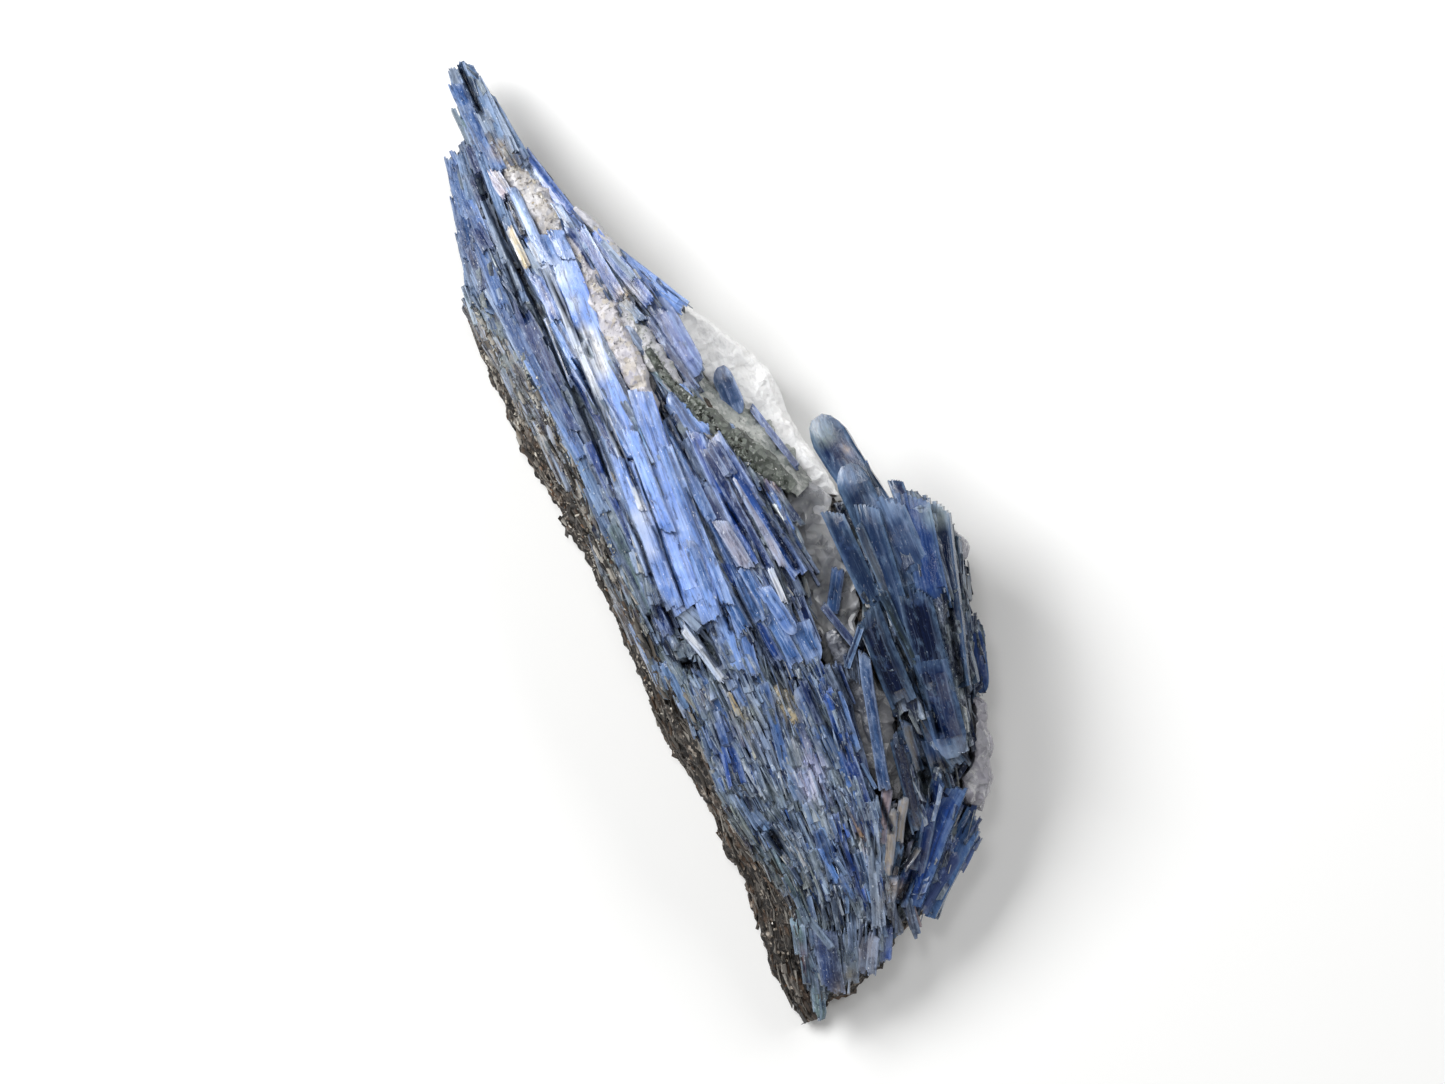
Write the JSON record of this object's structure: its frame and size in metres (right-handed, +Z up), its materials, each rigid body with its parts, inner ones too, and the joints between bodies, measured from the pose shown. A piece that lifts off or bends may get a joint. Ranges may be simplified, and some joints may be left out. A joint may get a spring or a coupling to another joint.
{
  "type": "kyanite specimen",
  "caption": "Natural hand specimen: two sprays of blue kyanite blades grown on dark mica schist, with clear grey quartz between them. It lies on its flat cleavage face.",
  "frame": {"origin": "middle of the specimen's overall box in plan, on the surface that it lies on", "axes": "+X along the blades towards the upper tip, +Y towards the schist wall, +Z up out of the crystal face"},
  "size_m": [0.1801, 0.0696, 0.0343],
  "materials": {
    "mica_schist": "rough foliated mica schist with glittering flakes",
    "blue_kyanite": "glassy striated blades, streaked light blue to navy",
    "pale_kyanite": "glassy grey-blue blade",
    "grey_quartz": "translucent grey-white quartz with conchoidal breaks"
  },
  "bodies": {
    "root": {"schist_matrix": "mica_schist", "kyanite_main_spray": "blue_kyanite", "kyanite_right_fan": "blue_kyanite", "kyanite_shoulder_crystal": "blue_kyanite", "kyanite_shoulder_needle": "pale_kyanite", "kyanite_hollow_crystal": "blue_kyanite", "quartz_shoulder": "grey_quartz", "quartz_hollow": "grey_quartz", "quartz_pocket": "grey_quartz", "quartz_rim": "grey_quartz", "quartz_knob": "grey_quartz", "quartz_seam_upper": "grey_quartz", "quartz_seam_lower": "grey_quartz"}
  },
  "joints": []
}
